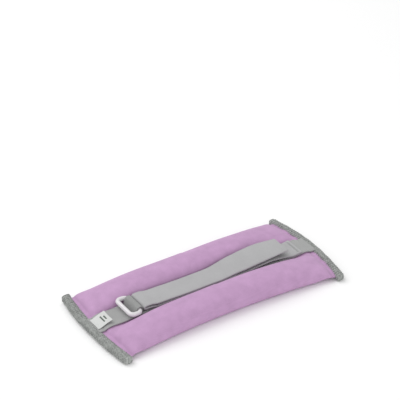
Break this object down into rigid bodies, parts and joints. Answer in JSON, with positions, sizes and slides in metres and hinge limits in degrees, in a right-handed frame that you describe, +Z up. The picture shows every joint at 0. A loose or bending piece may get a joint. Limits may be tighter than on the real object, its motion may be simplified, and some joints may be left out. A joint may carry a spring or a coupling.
{
  "type": "ankle cuff weight",
  "caption": "Sand-filled fabric cuff that wraps round an ankle, with bound ends, a rectangular ring and a hook-and-loop strap along its centre strip.",
  "frame": {"origin": "centre of the underside that lies on the table or against the ankle", "axes": "+X along the cuff from the ring end to the strap end, +Y across it, +Z up through the strip and strap"},
  "size_m": [0.268, 0.122, 0.024],
  "materials": {
    "cover_knit": "matt lilac knit over thin foam",
    "bag_cloth": "plain woven lining",
    "sand": "dry sand in the sealed bags",
    "strip_webbing": "mid grey narrow webbing",
    "strap_webbing": "light grey brushed loop webbing",
    "hook_tape": "grey moulded hooks",
    "loop_webbing": "ribbed grey webbing",
    "binding_tape": "ribbed grey knit tape",
    "label_weave": "pale grey satin-woven tape",
    "thread": "polyester sewing thread",
    "ring_plastic": "glossy off-white moulding"
  },
  "bodies": {
    "pad_center": {"cover_center": "cover_knit", "sand_bag_center": "bag_cloth", "sand_fill_center": "sand", "base_strip_center": "strip_webbing", "strap_lower_center": "strap_webbing", "strap_upper_center": "strap_webbing"},
    "pad_right_1": {"cover_right_1": "cover_knit", "sand_bag_right_1": "bag_cloth", "sand_fill_right_1": "sand", "base_strip_right_1": "strip_webbing", "strap_lower_right_1": "strap_webbing", "strap_upper_right_1": "strap_webbing"},
    "pad_right_2": {"cover_right_2": "cover_knit", "sand_bag_right_2": "bag_cloth", "sand_fill_right_2": "sand", "base_strip_right_2": "strip_webbing", "strap_lower_right_2": "strap_webbing"},
    "pad_right_3": {"cover_right_3": "cover_knit", "sand_bag_right_3": "bag_cloth", "sand_fill_right_3": "sand", "base_strip_right_3": "strip_webbing", "strap_lower_right_3": "strap_webbing", "strap_tack": "thread", "binding_right": "binding_tape"},
    "pad_left_1": {"cover_left_1": "cover_knit", "sand_bag_left_1": "bag_cloth", "sand_fill_left_1": "sand", "base_strip_left_1": "strip_webbing", "strap_lower_left_1": "strap_webbing", "strap_upper_left_1": "strap_webbing"},
    "pad_left_2": {"cover_left_2": "cover_knit", "sand_bag_left_2": "bag_cloth", "sand_fill_left_2": "sand", "base_strip_left_2": "strip_webbing", "strap_fold": "strap_webbing", "ring_loop": "loop_webbing", "ring_loop_tack": "thread"},
    "pad_left_3": {"cover_left_3": "cover_knit", "sand_bag_left_3": "bag_cloth", "sand_fill_left_3": "sand", "base_strip_left_3": "strip_webbing", "binding_left": "binding_tape"},
    "strap_end": {"strap_tail": "strap_webbing", "hook_patch": "hook_tape"},
    "ring": {"ring": "ring_plastic"},
    "label": {"label": "label_weave"}
  },
  "joints": [
    {"name": "wrap", "type": "hinge", "parent": "pad_center", "child": "pad_right_1", "pos_m": [0.02, 0, 0.01194], "axis": [0, 1, 0], "range_deg": [0, 50]},
    {"name": "wrap_right_2", "type": "hinge", "parent": "pad_right_1", "child": "pad_right_2", "pos_m": [0.06, 0, 0.01159], "axis": [0, 1, 0], "range_deg": [0, 50]},
    {"name": "wrap_right_3", "type": "hinge", "parent": "pad_right_2", "child": "pad_right_3", "pos_m": [0.1, 0, 0.00983], "axis": [0, 1, 0], "range_deg": [0, 42.5]},
    {"name": "wrap_left_1", "type": "hinge", "parent": "pad_center", "child": "pad_left_1", "pos_m": [-0.02, 0, 0.01194], "axis": [0, -1, 0], "range_deg": [0, 50]},
    {"name": "wrap_left_2", "type": "hinge", "parent": "pad_left_1", "child": "pad_left_2", "pos_m": [-0.06, 0, 0.01159], "axis": [0, -1, 0], "range_deg": [0, 50]},
    {"name": "wrap_left_3", "type": "hinge", "parent": "pad_left_2", "child": "pad_left_3", "pos_m": [-0.1, 0, 0.0098], "axis": [0, -1, 0], "range_deg": [0, 42.5]},
    {"name": "strap_peel", "type": "hinge", "parent": "pad_right_1", "child": "strap_end", "pos_m": [0.04, 0, 0.0201], "axis": [0, -1, 0], "range_deg": [0, 150]},
    {"name": "ring_swing", "type": "hinge", "parent": "pad_left_2", "child": "ring", "pos_m": [-0.082, 0, 0.01578], "axis": [0, 1, 0], "range_deg": [0, 80]},
    {"name": "label_flip", "type": "hinge", "parent": "pad_left_3", "child": "label", "pos_m": [-0.1237, 0, 0.0093], "axis": [0, -1, 0], "range_deg": [0, 90]}
  ],
  "couplings": [
    {"joint": "wrap_right_2", "follows": "wrap", "ratio": 1},
    {"joint": "wrap_right_3", "follows": "wrap", "ratio": 0.85},
    {"joint": "wrap_left_1", "follows": "wrap", "ratio": 1},
    {"joint": "wrap_left_2", "follows": "wrap", "ratio": 1},
    {"joint": "wrap_left_3", "follows": "wrap", "ratio": 0.85}
  ]
}
